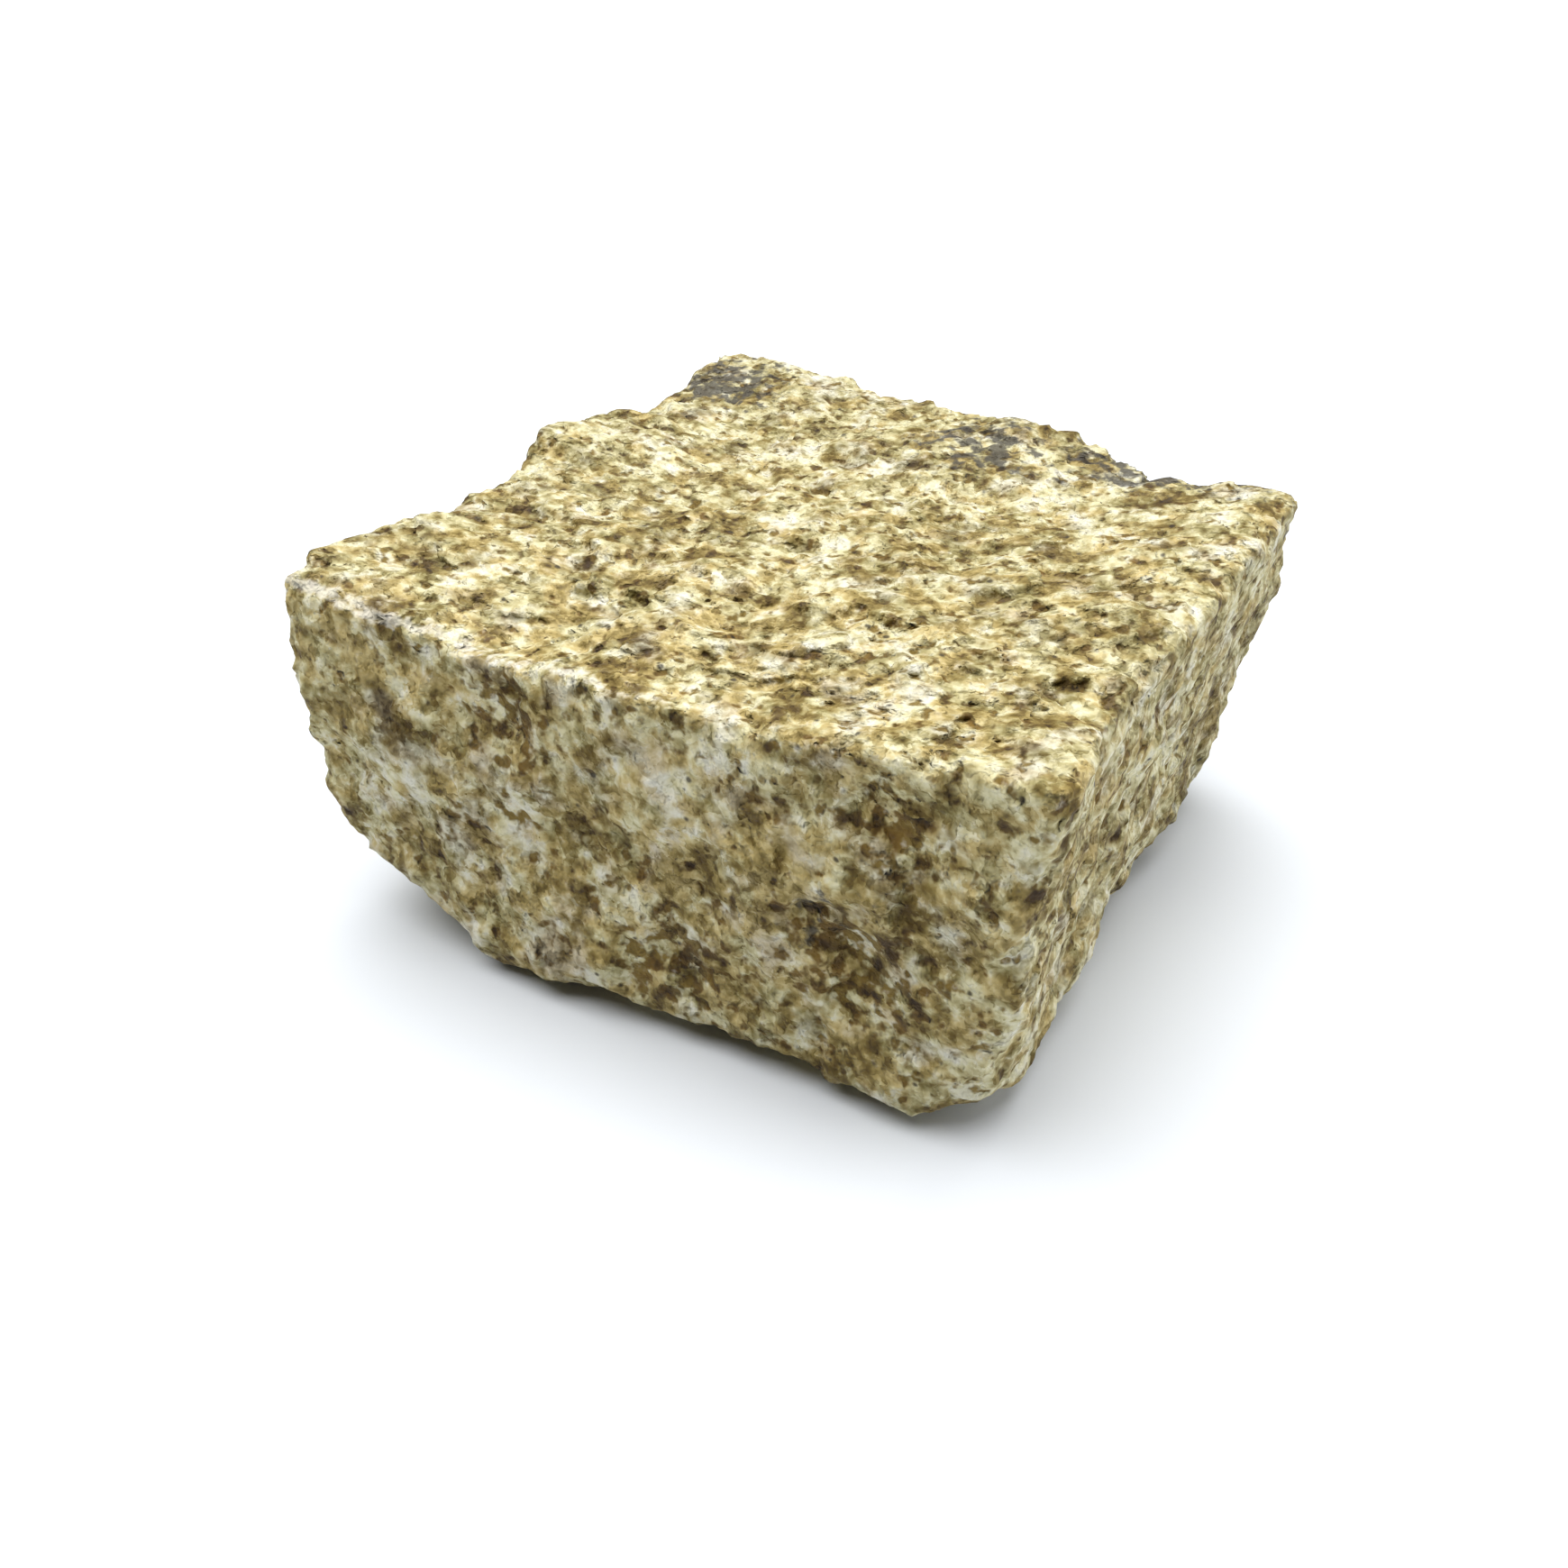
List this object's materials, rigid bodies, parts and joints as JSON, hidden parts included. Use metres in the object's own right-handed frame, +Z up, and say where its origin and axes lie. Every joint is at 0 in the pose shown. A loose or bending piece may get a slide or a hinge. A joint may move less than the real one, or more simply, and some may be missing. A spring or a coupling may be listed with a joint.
{
  "type": "rough granite rock",
  "caption": "Rough split block of yellow granite, a squarish paving sett with broken faces, chipped lower edges and a flat underside to rest on.",
  "frame": {"origin": "on the resting plane, under the middle of the stone's box", "axes": "+Z up out of the ground, the broad front face towards -Y, +X to the right seen from the front"},
  "size_m": [0.1104, 0.1138, 0.0563],
  "materials": {
    "granite": "rough split, unpolished"
  },
  "bodies": {
    "root": {"stone": "granite"}
  },
  "joints": []
}
